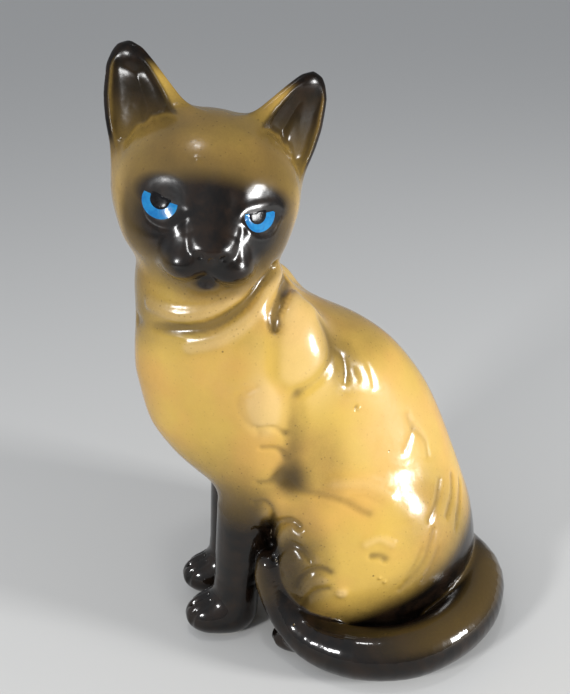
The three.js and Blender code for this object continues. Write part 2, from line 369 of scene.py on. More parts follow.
NECK_FOLDS = [
    ([(14, -54, 140), (22, -46, 138), (25, -37, 139.5), (25.4, -30, 142.5), (22.7, -21.3, 146.8),
      (20.8, -15.7, 151.2)], 2.4, -1.3),
    ([(4, -59, 131), (14, -57, 132), (23.5, -42, 133.4), (25.9, -34, 135.4), (24.5, -23.6, 140.6),
      (20, -16.8, 146.8), (16, -12, 149.4)], 2.0, 1.9),
    ([(23, -42.4, 127), (26, -34.3, 129.5), (26.4, -26.5, 133.6), (24.5, -20.3, 138),
      (19.8, -14.8, 143), (11.6, -9.5, 146)], 2.4, -1.3),
    ([(26.5, -14.2, 132), (25.5, -13.8, 136), (19.5, -9.7, 140.5), (6, -5, 141)], 2.2, 1.9),
    ([(24.4, -9, 134), (20, -6, 138), (12, -3, 139)], 2.2, -0.9),
]
SHOULDER_FOLDS = [
    ([(27.4, -15, 133.4), (30.2, -15.7, 127.5), (32.7, -16.6, 117.7),
      (33.5, -14.5, 113)], 2.6, 0.57),
    ([(22.5, 3.5, 132), (24.2, 5.4, 126.4), (26.5, 5.4, 121), (29.4, 3, 116.5), (31.9, -2, 112.9),
      (33.4, -8, 110.6)], 2.7, 0.98),
    ([(21, 8, 131), (23.8, 9, 120), (26.1, 10.9, 112.1)], 5.2, 0.74),
    ([(24.4, 7.4, 120.2), (24.2, 10.3, 116.7), (26.1, 10.9, 112.1), (27.4, 10.2, 109)], 1.4, 0.3),
    ([(25, 13.7, 112), (25.9, 14.9, 108.5)], 1.3, 0.14),
    ([(22.3, 19.7, 111.6), (23.5, 20.8, 108.1), (24.7, 21.2, 104.7)], 1.3, 0.16),
    ([(32.4, -22.4, 114), (31, -27, 110.8), (31, -27.6, 107), (31.8, -26, 101.5),
      (32.4, -22.6, 96.8)], 1.7, 0.37),
    ([(32.7, -22.3, 98.4), (33.4, -18.3, 98.8), (33.4, -14.9, 96.5), (33.2, -13.1, 95)], 1.3, 0.57),
    ([(31.9, -21.1, 89.9), (32.4, -16.6, 89.5), (32.2, -13.8, 87), (32, -12.4, 84.2)], 1.3, 0.57),
    ([(29.9, -22.6, 74.8), (30.9, -19.2, 75.2), (31.5, -16.4, 76.8)], 1.3, 0.49),
    ([(28.1, -23.7, 65.6), (29.4, -20.3, 66.4), (28.8, -17.4, 62), (26.8, -16.2, 55)], 1.3, 0.57),
    ([(25.5, -23.7, 52.2), (24.6, -20.2, 50.4), (23.2, -17.8, 43.9)], 1.3, 0.57),
    ([(34.2, -11, 108), (34.2, -10.2, 98), (33.2, -10.4, 86), (32.2, -11.4, 76)], 4.0, 0.7),
]
FLANK_FOLDS = [
    ([(32.5, -13, 76), (33.2, -8.2, 71.4), (34.3, -3, 69.7), (35.5, 2.8, 68.2), (37.2, 8.3, 65.9),
      (38.9, 13, 62.8), (39.5, 15.5, 61.5)], 1.8, 0.5),
    ([(34.6, 4, 73), (35, 9.6, 72.4), (35.2, 15.1, 71.4), (36.1, 20.5, 68.5),
      (37.1, 24, 65.6)], 2.9, -0.49),
    ([(34.6, 10, 68), (35.6, 15, 67.4), (36.8, 20, 64.6)], 1.7, 0.33),
    ([(24.2, -17.3, 43), (25.4, -16.6, 50.6), (28.9, -14.2, 56.1), (32, -11.1, 58.1),
      (34, -9, 56.9)], 1.4, 1.15),
    ([(29, -15, 49), (32.5, -12.2, 53), (35.5, -9.5, 52.5)], 2.6, -0.95),
    ([(30.3, -17.1, 41.6), (31.5, -15, 46.1), (34.1, -11.8, 49.2), (36.8, -8.7, 48.4),
      (39.1, -6.4, 45.2)], 1.4, 1.15),
    ([(34.5, -13, 39), (37.5, -9.5, 43.4), (40.5, -5.4, 45)], 2.9, -0.95),
    ([(37.6, -11.1, 32.4), (38.6, -9.4, 37.4), (40, -5.9, 41.3), (41.2, -2.5, 41.6),
      (42.2, 0.2, 40.1)], 1.4, 1.2),
    ([(38.5, -9.5, 30), (40, -6.8, 35.6), (41.8, -2.6, 37)], 2.6, -0.95),
    ([(37.7, -8.6, 22.8), (39.4, -7.4, 28.5), (41.1, -4, 32), (42.3, -0.6, 33.1)], 1.3, 1.0),
    ([(42.6, 13.6, 51), (42.8, 18.6, 52.4), (43.1, 23.4, 49.4)], 2.0, -0.6),
    ([(43.8, 15.6, 45.8), (44.3, 18.6, 45.4), (44.3, 20.4, 43.8)], 1.5, 0.9),
    ([(44.5, 26.2, 29.6), (43.8, 32.1, 34.7), (42.4, 36.3, 39.6), (40.7, 38.7, 44.7),
      (38.2, 41, 49.2)], 1.3, 0.49),
    ([(45, 27.9, 33), (43.6, 31.6, 38.1), (41.9, 35, 44)], 1.3, 0.37),
    ([(42.5, 36, 30.5), (41.5, 39.5, 36), (39.5, 42.5, 41.5)], 1.3, 0.33),
    ([(26.1, 47.4, 62.3), (31.5, 44.3, 57.4), (37.2, 39.6, 53.2)], 1.5, 0.55),
    ([(20.7, 54.4, 60.1), (25.6, 52.7, 54.5), (32.2, 48.3, 50.5)], 1.5, 0.55),
    ([(16.9, 59.5, 54.7), (25.3, 56, 49.2), (31, 51.5, 43)], 1.5, 0.55),
    ([(22.3, 35.2, 89.8), (23.6, 36.4, 84.1), (27.5, 32.6, 78.4)], 1.7, 0.33),
    ([(22.7, 37.9, 84.2), (22.3, 42.2, 78.2), (24.2, 42.9, 72.8)], 1.7, 0.33),
]
LEFT_LID = ([(27.4, 8, 1.8), (25.2, 11.4, 3.2), (22.6, 15.5, 4.2), (19.8, 19.6, 4.6),
             (17.6, 23, 3)], 1.7, -0.3)  # the upper lid is modelled on this eye only
FACE_FOLDS = [  # in the head frame: lower lid, beside the nose, under the lobe, brow
    ([(27.8, 8.8, -2), (26.2, 11.8, -5.6), (23.8, 16, -7), (20.4, 20.6, -5.2),
      (18, 23.2, -0.4)], 1, -0.25),
    ([(27, 9.8, -1), (28, 9, -4.6), (29.4, 8, -8.6), (29.8, 7.6, -12.6)], 1.5, 0.3),
    ([(26.6, 12.2, -5), (27, 12.2, -9), (26.8, 13, -13)], 2, -0.2),
    ([(27, 6, -23.2), (24.6, 10.6, -22.2), (22.2, 13.6, -19.6)], 0.9, 0.5),
    ([(24, 3, 12), (25, 5, 7), (27.4, 6.6, 2.4)], 2.2, 0.25),
]
FAR_NECK = 0.45  # share of a neck fold's depth on the side that the turned head stretches
SWELLINGS = [  # centre, radii, height: shoulder, point of the shoulder, elbow, fold of the elbow
    ((28, -6, 120), (14, 19, 20), 0.9), ((33, -20, 106), (5.5, 5.2, 8.5), 1.3),
    ((28.5, -21, 59.5), (4, 4, 5.5), 0.9), ((31.5, -13.5, 77), (5, 4, 4), -0.9),
]
KILN_MARKS = [  # blisters and pits of the glaze, on the side that shows them
    ((43.6, 4.4, 31.2), (2.4, 2.3, 2.4), 1.1), ((45.2, 4.0, 31.4), (1.4, 0.8, 0.9), -0.9),
    ((44.9, 3.4, 32.4), (1.2, 0.6, 0.6), 0.5), ((44.9, 18.3, 36.4), (1.0, 0.8, 0.7), 0.5),
    ((44.9, 20.2, 34.4), (1.0, 0.7, 0.8), 0.5), ((28.8, 13.5, 99.1), (0.9, 0.8, 0.9), -0.8),
    ((28.8, 14.4, 98.6), (0.9, 0.7, 0.7), 0.4), ((35.4, 3.2, 78), (0.9, 0.6, 0.6), -0.5),
]
FOREPAW_GAPS = (-4.6, 0.0, 4.6)  # across the paw, where the toes part
HIND_PAW_GAPS = (-4.0, 0.4, 4.6)
EAR_STREAKS = [  # across and up the hollow
    ([(30.5, 16), (30.5, 23), (28.5, 31)], 1.6, -0.3),
    ([(26.5, 13), (25.5, 21), (25.5, 28)], 1.5, -0.35),
    ([(22, 12), (21, 19), (21.5, 26)], 1.5, -0.35),
    ([(17.5, 13), (17.5, 19), (18.5, 23.5)], 1.5, -0.3),
    ([(28.5, 15), (28, 24), (27, 33)], 1.1, 0.2),
    ([(24, 13), (23.2, 20), (23.4, 28)], 1.1, 0.2),
    ([(19.5, 12), (19.2, 18), (20, 24)], 1.1, 0.2),
]


def fine_field(p):
    """The glazed surface with its folds, wrinkles, toes, eyelids and kiln blisters."""
    d = cat_field(p)
    for side in (LEFT, RIGHT):
        m = p * (side, 1, 1)
        for line, width, depth in NECK_FOLDS:
            crease(m, d, line, width, depth if side == LEFT else depth * FAR_NECK)
        for line, width, depth in SHOULDER_FOLDS + FLANK_FOLDS:
            crease(m, d, line, width, depth)
        domes(m, d, SWELLINGS)
        toes(m if side == LEFT else m - (0, RIGHT_SETBACK, 0), d)
    face_detail(in_head(p), d)
    domes(p, d, KILN_MARKS)
    return d


def toes(m, d):
    """Grooves between the toes of the forepaw and the hind paw on one side."""
    x, y, z = FOREPAW
    for offset in FOREPAW_GAPS:
        gap = x + offset
        crease(m, d, [(gap - 0.1 * offset, y - 3, z + 8), (gap, y - 9, z + 4.6),
                      (gap + 0.05 * offset, y - 12.4, z - 4)], 0.9, 1.3)
    x, y, z = HIND_PAW
    for offset in HIND_PAW_GAPS:
        gap = x + offset
        crease(m, d, [(gap, y - 8, z + 7.4), (gap, y - 14, z + 3.6), (gap, y - 16.8, z - 4)],
               0.9, 1.2)


def face_detail(q, d):
    """Lids, nostrils, mouth, the left brow's bump and the tufts of the ears."""
    near = np.flatnonzero((q[:, 0] > -12) & (np.abs(q[:, 1]) < 42) & (q[:, 2] > -32))
    if not len(near):
        return
    part, sub = q[near], d[near]
    for side in (LEFT, RIGHT):
        m = part * (1, side, 1)
        for line, width, depth in FACE_FOLDS + ([LEFT_LID] if side == LEFT else []):
            crease(m, sub, line, width, depth)
        dome(m, sub, (32.2, 3.6, -13.2), (2.2, 1.1, 1.0), -0.8)
        across, up, _, _, _, ahead, w = ear_places(part, side)
        front = smooth(-1.5, 1, ahead) * smooth(11, 5, ahead) * smooth(1.15, 0.8, np.abs(w))
        for line, width, depth in EAR_STREAKS:
            crease(np.stack([across, up], 1), sub, line, width, depth, front)
    crease(part, sub, [(32.6, 0, -14.4), (31.0, 0, -18), (28, 0, -22)], 0.9, 1.0)
    crease(part, sub, [(26.8, -2.8, -23.4), (28.2, 0, -22.8), (26.8, 2.8, -23.4)], 1.3, 1.6)
    dome(part, sub, (22.5, -7.6, 14.6), (2, 1.2, 1.2), 0.4)
    d[near] = sub


# ------------------------------------------------------------------ skin from the field

def in_chunks(field, points):
    parts = [field(points[i:i + CHUNK]) for i in range(0, len(points), CHUNK)]
    return np.concatenate(parts)


def sample_grid(low, high, step):
    """The field on a grid: coarse everywhere, exact near the surface."""
    counts = np.ceil((high - low) / (step * COARSE)).astype(int) + 1
    axes = [low[i] + step * COARSE * np.arange(counts[i]) for i in range(3)]
    nodes = np.stack(np.meshgrid(*axes, indexing="ij"), -1).reshape(-1, 3)
    rough = in_chunks(cat_field, nodes).reshape(counts)
    block = [rough[i:i + counts[0] - 1, j:j + counts[1] - 1, k:k + counts[2] - 1]
             for i in (0, 1) for j in (0, 1) for k in (0, 1)]
    close = np.min(np.abs(block), 0) < step * COARSE * 1.4
    signs = np.sign(block)
    close |= signs.min(0) != signs.max(0)
    value = block[0]
    for axis in range(3):
        close = np.repeat(close, COARSE, axis)
        value = np.repeat(value, COARSE, axis)
    index = np.argwhere(close)
    value[tuple(index.T)] = in_chunks(cat_field, low + index * step)
    return value


def surface_nets(value, label, low, step):
    """Vertices and quads between differently labelled cells, shared by both sides."""
    shape = np.array(value.shape) - 1
    total = np.zeros((*shape, 3), np.float32)
    weight = np.zeros(shape, np.float32)
    skin = np.zeros(shape, bool)
    edges = []
    for axis in range(3):
        a = tuple(slice(0, -1) if i == axis else slice(None) for i in range(3))
        b = tuple(slice(1, None) if i == axis else slice(None) for i in range(3))
        where = np.argwhere(label[a] != label[b])
        others = [i for i in range(3) if i != axis]
        inner = where[:, others]
        where = where[((inner > 0) & (inner < shape[others])).all(1)]
        ahead = where.copy()
        ahead[:, axis] += 1
        la, lb = label[tuple(where.T)], label[tuple(ahead.T)]
        va, vb = value[tuple(where.T)], value[tuple(ahead.T)]
        outer = (la == 0) | (lb == 0)
        t = np.where(outer, va / np.where(np.abs(va - vb) > 1e-9, va - vb, 1), 0.5)
        spot = where.astype(np.float32)
        spot[:, axis] += np.clip(t, 0, 1)
        w = np.where(outer, 1.0, 1e-4)
        cells = []
        for du, dv in ((0, 0), (1, 0), (1, 1), (0, 1)):
            cell = where.copy()
            cell[:, others[0]] -= du
            cell[:, others[1]] -= dv
            cells.append(cell)
            key = tuple(cell.T)
            np.add.at(total, key, spot * w[:, None])
            np.add.at(weight, key, w)
            skin[tuple(cell[outer].T)] = True
        edges.append((axis, cells, la, lb))
    used = weight > 0
    ids = np.full(shape, -1, np.int64)
    ids[used] = np.arange(used.sum())
    vertices = low + total[used] / weight[used][:, None] * step
    quads, sides = [], []
    for axis, cells, la, lb in edges:
        quad = np.stack([ids[tuple(cell.T)] for cell in cells], 1)
        quads.append(quad[:, ::-1] if axis == 1 else quad)
        sides.append(np.stack([la, lb], 1))
    return vertices, skin[used], np.vstack(quads), np.vstack(sides)


def gradient(field, points):
    """The field's slope, from the four corners of a small tetrahedron."""
    slope = np.zeros_like(points)
    for corner in ((1, -1, -1), (-1, -1, 1), (-1, 1, -1), (1, 1, 1)):
        corner = np.array(corner, float)
        slope += in_chunks(field, points + corner * NORMAL_STEP)[:, None] * corner
    return slope / (4 * NORMAL_STEP)


def settle(field, points, slope, rounds=2, reach=1.0):
    """Moves points onto the surface along a given slope."""
    size = np.maximum((slope ** 2).sum(1), 0.1)
    for _ in range(rounds):
        d = in_chunks(field, points)
        points = points - slope * np.clip(d / size, -reach, reach)[:, None]
    return points


def relax(vertices, quads, fixed, rounds, strength=0.5):
    """Evens out the quads by pulling each vertex towards its neighbours."""
    a, b = quads.ravel(), np.roll(quads, -1, 1).ravel()
    count = np.bincount(a, minlength=len(vertices)) + np.bincount(b, minlength=len(vertices))
    for _ in range(rounds):
        total = np.zeros_like(vertices)
        for axis in range(3):
            total[:, axis] = (np.bincount(a, vertices[b, axis], len(vertices))
                              + np.bincount(b, vertices[a, axis], len(vertices)))
        mean = total / np.maximum(count, 1)[:, None]
        vertices = np.where(fixed[:, None], vertices, vertices + strength * (mean - vertices))
    return vertices


def refine(vertices, on_skin, quads, sides, chosen):
    """Splits the chosen quads in four; a quad beside them becomes a polygon that takes in
    the new corners."""
    ends = np.sort(np.stack([quads, np.roll(quads, -1, 1)], -1), -1).reshape(-1, 2)
    pairs, edge = np.unique(ends, axis=0, return_inverse=True)
    edge = edge.reshape(len(quads), 4)
    split = np.zeros(len(pairs), bool)
    split[edge[chosen].ravel()] = True
    middle = np.full(len(pairs), -1)
    middle[split] = len(vertices) + np.arange(split.sum())
    centre = len(vertices) + split.sum() + np.arange(chosen.sum())
    points = np.vstack([vertices, vertices[pairs[split]].mean(1), vertices[quads[chosen]].mean(1)])
    skin = np.concatenate([on_skin, np.ones(len(points) - len(vertices), bool)])
    old, mid = quads[chosen], middle[edge[chosen]]
    children = [np.stack([old[:, i], mid[:, i], centre, mid[:, i - 1]], 1) for i in range(4)]
    beside = ~chosen & split[edge].any(1)
    plain = ~chosen & ~beside
    polygons = []
    for quad, extra in zip(quads[beside], middle[edge[beside]]):
        polygons.append([v for pair in zip(quad, extra) for v in pair if v >= 0])
    new_quads = np.vstack([quads[plain], *children])
    new_sides = np.vstack([sides[plain], *[sides[chosen]] * 4])
    return points, skin, new_quads, new_sides, polygons, sides[beside]


GRID_LOW = np.array([-50.0, -68.0, -3.0])
GRID_HIGH = np.array([72.0, 82.0, 226.0])


def nearest_piece(p):
    return np.argmin(piece_fields(p), 0) + 1


def make_skin():
    """The skin and the walls between castings, finer where the modelling is fine."""
    value = sample_grid(GRID_LOW, GRID_HIGH, VOXEL)
    label = np.zeros(value.shape, np.int8)
    spots = np.argwhere(value < 0)
    label[tuple(spots.T)] = in_chunks(nearest_piece, GRID_LOW + spots * VOXEL)
    vertices, on_skin, quads, sides = surface_nets(value, label, GRID_LOW, VOXEL)
    vertices = relax(vertices, quads, on_skin, 4)
    surface = np.flatnonzero(on_skin)
    skin_quads = quads[(sides == 0).any(1)]
    for _ in range(2):
        vertices = relax(vertices, skin_quads, ~on_skin, 2)
        slope = gradient(cat_field, vertices[surface])
        vertices[surface] = settle(cat_field, vertices[surface], slope)
    chosen = (sides == 0).any(1) & in_detail(vertices[quads].mean(1))
    vertices, on_skin, quads, sides, polygons, polygon_sides = refine(
        vertices, on_skin, quads, sides, chosen)
    surface = np.flatnonzero(on_skin)
    slope = gradient(cat_field, vertices[surface])
    vertices[surface] = settle(fine_field, vertices[surface], slope, 3, 0.8)
    return vertices, surface, quads, sides, polygons, polygon_sides


def in_detail(p):
    """Where the modelling is finer than one step of the grid."""
    q = in_head(p)
    face = (q[:, 0] > -8) & (q[:, 2] > -30) & (np.abs(q[:, 1]) < 42) & (p[:, 2] > 140)
    paws = (p[:, 2] < 22) & (p[:, 1] < -6) & (p[:, 0] < 24)
    knee = (p[:, 0] > 22) & (p[:, 1] < 26) & (p[:, 2] > 20) & (p[:, 2] < 124)
    return face | paws | knee


vertices, surface, quads, sides, polygons, polygon_sides = make_skin()
normals = gradient(fine_field, vertices[surface])
normals /= np.maximum(np.linalg.norm(normals, axis=1), 1e-6)[:, None]
skin_normal = np.zeros_like(vertices)
skin_normal[surface] = normals

# ------------------------------------------------------------------ underglaze painting
# Four painted amounts per point of the skin: olive brown, seal black, pale cream, and bare unglazed
# clay. The brown also holds painted shade in the grooves and behind the foreleg, and the cream
# holds painted highlight on the folds and the shoulder.

def blob(p, centre, radii, soft=0.5):
    """1 in the middle of a soft ellipsoid, 0 past its edge."""
    k = np.sqrt((((p - np.array(centre, float)) / np.array(radii, float)) ** 2).sum(-1))
    return smooth(1 + soft, 1 - soft, k)


def shade(total, amount):
    """Sprays an amount over what is there; the order of the sprays makes no difference."""
    return 1 - (1 - total) * (1 - np.clip(amount, 0, 1))


def patches(total, p, rows):
    for amount, *spot in rows:
        total = shade(total, amount * blob(p, *spot))
    return total


BROWN_PATCHES = [  # amount, centre, radii and softness if not 0.5; the same on both sides
    # the patch at (33, -3, 80) darkens the flank behind the foreleg: airbrushed brown, and painted
    # shade where the foreleg shades the flank
    (0.45, (25, 9, 119), (6, 8, 17)), (0.42, (33, -3, 80), (10, 11, 15)),
    (0.75, (32.5, -11, 75.5), (7, 6.5, 7)), (0.25, (31, -9, 96), (6, 4, 14)),
    (0.85, (37, -11, 38), (12, 12, 23)), (0.35, (34, 44, 46), (14, 18, 26)),
    (0.6, (0, -60, 140), (19, 15, 17)),
]
SEAL_PATCHES = [
    (1.0, (26, -18.5, 34), (7, 5, 24), 0.3), (0.5, (32.4, -11.5, 75.2), (4, 3.6, 4), 0.7),
    (0.7, (34.5, -15, 33), (9, 9, 22)),
]
# pale patches on the top and the point of the shoulder: paler glaze, and painted highlight where
# the shoulder catches the light
CREAM_PATCHES = [
    (0.5, (20, -3, 134), (12, 14, 14)), (0.45, (33, -20, 105), (6, 7, 10)),
]


def paint_body(p, m):
    """Brown and seal of the neck, chest and flanks; m is p with both sides folded together."""
    side_x, y, z = m.T
    brown = patches(np.zeros(len(p)), m, BROWN_PATCHES)
    brown = shade(brown, 0.4 * blob(p, (8, 14, 122), (24, 20, 13)))
    brown = shade(brown, 0.28 * smooth(120, 134, z) * smooth(158, 148, z) * smooth(2, -30, y))
    brown = shade(brown, 0.3 * smooth(-50, -62, y))
    brown = shade(brown, 0.75 * smooth(98, 62, z) * smooth(-14, -36, y))
    brown = shade(brown, 0.3 * smooth(14, 0, side_x) * smooth(20, 40, y))
    brown = shade(brown, 0.12)
    return brown, patches(np.zeros(len(p)), m, SEAL_PATCHES)


def paint_limbs(p, normal, brown, seal):
    """Dark legs, paws and tail, and the dark band low on the haunches."""
    x, y, z = p.T
    legs = np.minimum(foreleg_field(p, LEFT), foreleg_field(p, RIGHT))
    seal = shade(seal, smooth(3, 0.6, legs) * smooth(70, 48, z))
    brown = shade(brown, smooth(6, 1, legs) * smooth(84, 62, z) * 0.95)
    hind = np.minimum(hind_paw_field(p, LEFT), hind_paw_field(p, RIGHT))
    seal = shade(seal, smooth(2.6, 0.8, hind))
    on_tail = smooth(1.6, 0.5, tail_field(p))
    away = np.stack([x, y - 20], 1)
    away /= np.maximum(np.linalg.norm(away, axis=1), 1)[:, None]
    # the tail's top, where it faces up and out, is left brown instead of black: painted light on
    # the lit top of the tail
    facing = 0.42 * (normal[:, :2] * away).sum(1) + 0.9 * normal[:, 2]
    top = smooth(0.66, 0.98, facing) * smooth(2, 44, y) * smooth(8, 30, x) * 0.55
    tip = 0.6 * blob(p, (31, -21.5, 33), (7, 5, 9)) * smooth(-8, -14, y)
    seal = shade(seal, on_tail * (1 - np.maximum(top, tip)))
    brown = shade(brown, on_tail)
    line = 15 + 0.42 * np.clip(y - 8, 0, 60)
    low = smooth(-14, -6, y) * (1 - on_tail)
    seal = shade(seal, low * smooth(line + 7, line - 3, z))
    brown = shade(brown, 0.8 * low * smooth(line + 19, line, z))
    return brown, seal


def paint_head(q, on_head, brown, seal):
    """Brown crown and cheeks, and the black mask round the eyes, nose and muzzle."""
    f, s, u = q.T
    side_s = np.abs(s)
    brown = shade(brown, on_head * 0.14)
    brown = shade(brown, on_head * 0.62 * blob(q, (12, 0, 20), (24, 26, 15)))
    brown = shade(brown, on_head * 0.45 * smooth(15, 28, u) * smooth(24, 14, side_s))
    brown = shade(brown, on_head * 0.30 * smooth(20, 31, side_s) * smooth(20, 10, u))
    rim = np.sqrt(((s + 0.8) / 26.5) ** 2 + ((u + 4.2) / 16.2) ** 2)
    muzzle = np.sqrt((s / 16) ** 2 + ((u + 14.2) / 10.2) ** 2)
    brow = np.sqrt(((side_s - 15) / 10.5) ** 2 + ((u - 2.5) / 7.4) ** 2)
    mask = np.minimum(np.minimum(rim, muzzle), brow)
    ahead = on_head * smooth(6, 13, f)
    seal = shade(seal, ahead * smooth(1.14, 0.72, mask))
    brown = shade(brown, ahead * smooth(1.75, 0.95, mask))
    lobe_edge = smooth(-20, -23, u) * smooth(-26, -23, u)
    seal = seal * (1 - 0.75 * ahead * lobe_edge * smooth(2, 4, side_s))
    seal = seal * (1 - 0.9 * on_head * blob(q, (23, 0, -26.4), (8, 8, 4)))
    seal = shade(seal, ahead * blob(q, (27.2, 0, -23.2), (3, 4.4, 1.6), 0.4))
    ear_root = smooth(4, 14, u) * smooth(34, 24, u) * smooth(8, 17, side_s)
    return shade(brown, on_head * 0.62 * ear_root), seal


def paint_ears(q, brown, seal):
    """Honey inner rim, and a brown hollow going black to the tip and the outer edge."""
    for side in (LEFT, RIGHT):
        _, up, _, _, _, forward, w = ear_places(q, side)
        here = smooth(3.4, 1.6, ear_field(q, side)) * smooth(5, 17, up)
        hollow = here * smooth(1.06, 0.8, np.abs(w)) * smooth(-1.5, 0.5, forward)
        inner_line = smooth(-1.12, -1.0, w) * smooth(-0.8, -0.95, w)
        brown = shade(brown, hollow * (0.55 + 0.42 * smooth(12, 28, up)))
        seal = shade(seal, hollow * (0.08 + 0.84 * smooth(15, 34, up)))
        seal = shade(seal, here * inner_line * 0.6 * smooth(-2, 0, forward) * smooth(18, 30, up))
        seal = shade(seal, here * smooth(0.9, 1.04, w) * smooth(8, 18, up))
        seal = shade(seal, here * smooth(37, 43.5, up))
        brown = shade(brown, here * smooth(20, 40, up) * 0.75 * smooth(1, -1, forward))
        brown = shade(brown, here * 0.12)
    return brown, seal


def paint_at(rows):
    """Amounts of brown, seal, cream and bare clay; a row is a point and its normal."""
    p, normal = rows[:, :3], rows[:, 3:]
    y, z = p[:, 1], p[:, 2]
    m = np.stack([np.abs(p[:, 0]), y, z], 1)
    q = in_head(p)
    ears = np.minimum(ear_field(q, LEFT), ear_field(q, RIGHT))
    on_head = smooth(6, 3, np.minimum(skull_field(q), ears)) * smooth(138, 144, z)
    brown, seal = paint_body(p, m)
    brown, seal = paint_limbs(p, normal, brown, seal)
    brown, seal = paint_head(q, on_head, brown, seal)
    brown, seal = paint_ears(q, brown, seal)

    # darker in the grooves and paler over the folds: partly the glaze pooling and thinning, and
    # partly painted shade in the grooves and painted highlight on the folds
    pressed = -cat_field(p)
    brown = shade(brown, 0.8 * smooth(0.06, 0.85, pressed))
    cream = patches(0.7 * smooth(0.15, 0.9, -pressed), m, CREAM_PATCHES)
    cream = shade(cream, 0.5 * on_head * smooth(24, 31, np.abs(q[:, 1])) * smooth(14, 2, q[:, 2]))
    cream = shade(cream, 0.3 * blob(p, (28, 30, 84), (18, 18, 26)))

    # the foot and the inside are bare
    inside = smooth(1.2, 0.4, cavity_field(p)) * smooth(40, 36, np.abs(y - CAVITY_CENTRE[1]))
    bare = np.maximum(smooth(0.5, 0.15, z), inside * (torso_field(p) < -2))
    return np.stack([brown, seal, cream, bare], 1)


paint = np.tile([0.0, 0.0, 0.0, 1.0], (len(vertices), 1))
paint[surface] = in_chunks(paint_at, np.hstack([vertices[surface], normals]))


def link_object(name, data):
    thing = bpy.data.objects.new(name, data)
    bpy.context.collection.objects.link(thing)
    return thing


def make_piece(number, name):
    """The closed mesh of one casting, with the shared skin's normals on its outside."""
    mine = (sides == number).any(1)
    faces = quads[mine].copy()
    flip = sides[mine][:, 1] == number
    faces[flip] = faces[flip][:, ::-1]
    loops = list(faces.ravel())
    outside = [np.repeat((sides[mine] == 0).any(1), 4)]
    counts = [4] * len(faces)
    for polygon, pair in zip(polygons, polygon_sides):
        if number in pair:
            loops += polygon[::-1] if pair[1] == number else polygon
            counts.append(len(polygon))
            outside.append(np.full(len(polygon), 0 in pair))
    used, local = np.unique(np.array(loops), return_inverse=True)
    mesh = bpy.data.meshes.new(name)
    starts = np.concatenate([[0], np.cumsum(counts)])
    outline = [local[a:b].tolist() for a, b in zip(starts[:-1], starts[1:])]
    mesh.from_pydata(to_frame(vertices[used]).tolist(), [], outline)
    mesh.update()
    mesh.polygons.foreach_set("use_smooth", np.ones(len(counts), bool))
    flat = np.zeros(len(counts) * 3)
    mesh.polygons.foreach_get("normal", flat)
    corner = np.where(np.concatenate(outside)[:, None], skin_normal[np.array(loops)],
                      np.repeat(flat.reshape(-1, 3), counts, 0))
    mesh.normals_split_custom_set(corner.tolist())
    colours = mesh.attributes.new("paint", "FLOAT_COLOR", "POINT")
    colours.data.foreach_set("color", paint[used].astype(np.float32).ravel())
    return link_object(name, mesh)


# ------------------------------------------------------------------ materials

def feed(tree, node, inputs):
    """Links a node's inputs to sockets, and sets the others directly."""
    for key, given in inputs.items():
        if isinstance(given, bpy.types.NodeSocket):
            tree.links.new(given, node.inputs[key])
        else:
            node.inputs[key].default_value = given


def add(tree, kind, inputs=None, **settings):
    node = tree.nodes.new(kind)
    for name, setting in settings.items():
        setattr(node, name, setting)
    feed(tree, node, inputs or {})
    return node


def new_material(name):
    material = bpy.data.materials.new(name)
    material.use_nodes = True
    return material, material.node_tree, material.node_tree.nodes["Principled BSDF"]


def calc(tree, operation, a, b=0.0, c=0.0, clamp=False):
    node = add(tree, "ShaderNodeMath", {0: a, 1: b, 2: c}, operation=operation, use_clamp=clamp)
    return node.outputs[0]


def product(tree, *factors):
    return reduce(lambda a, b: calc(tree, "MULTIPLY", a, b), factors)


def blend(tree, factor, a, b):
    node = add(tree, "ShaderNodeMix", {0: factor, 6: a, 7: b}, data_type="RGBA")
    return node.outputs[2]


def noise(tree, spot, scale, detail, roughness=0.55, distortion=0.0):
    node = add(tree, "ShaderNodeTexNoise", {"Vector": spot, "Scale": scale, "Detail": detail,
                                            "Roughness": roughness, "Distortion": distortion})
    return node.outputs["Fac"]


def ramp(tree, x, low, high):
    """0 below low and 1 above high; low may be the larger."""
    flip = low > high
    node = add(tree, "ShaderNodeMapRange", {
        "Value": x, "From Min": min(low, high), "From Max": max(low, high),
        "To Min": 1.0 if flip else 0.0, "To Max": 0.0 if flip else 1.0},
        interpolation_type="SMOOTHSTEP")
    return node.outputs["Result"]


HONEY = (0.585, 0.380, 0.078, 1)
HONEY_WARM = (0.60, 0.350, 0.082, 1)
HONEY_GREEN = (0.42, 0.305, 0.060, 1)
# CREAM also colours the painted highlight on the folds and the shoulder, and OLIVE the painted
# shade in the grooves and behind the foreleg
CREAM = (0.72, 0.50, 0.22, 1)
OLIVE = (0.105, 0.066, 0.018, 1)
SEAL = (0.0030, 0.0022, 0.0018, 1)
SEAL_BROWN = (0.014, 0.0075, 0.004, 1)
BARE_CLAY = (0.60, 0.52, 0.41, 1)
CLAY_SHADE = (0.50, 0.42, 0.32, 1)
BLUE, BLUE_PALE = (0.008, 0.125, 0.34, 1), (0.016, 0.20, 0.44, 1)
BLACK, BLACK_PALE = (0.003, 0.003, 0.0035, 1), (0.010, 0.009, 0.010, 1)
UNDER_SPECULAR = 0.1  # most of the gloss is the coat's
ENAMEL_SPECULAR, ENAMEL_COAT_ROUGHNESS = 0.08, 0.06
COAT_IOR = 1.52
GLAZE_COATS = {  # coat weight, coat roughness
    "honey_glaze": (0.5, 0.2), "fawn_glaze": (0.12, 0.16), "seal_glaze": (0.5, 0.06),
}


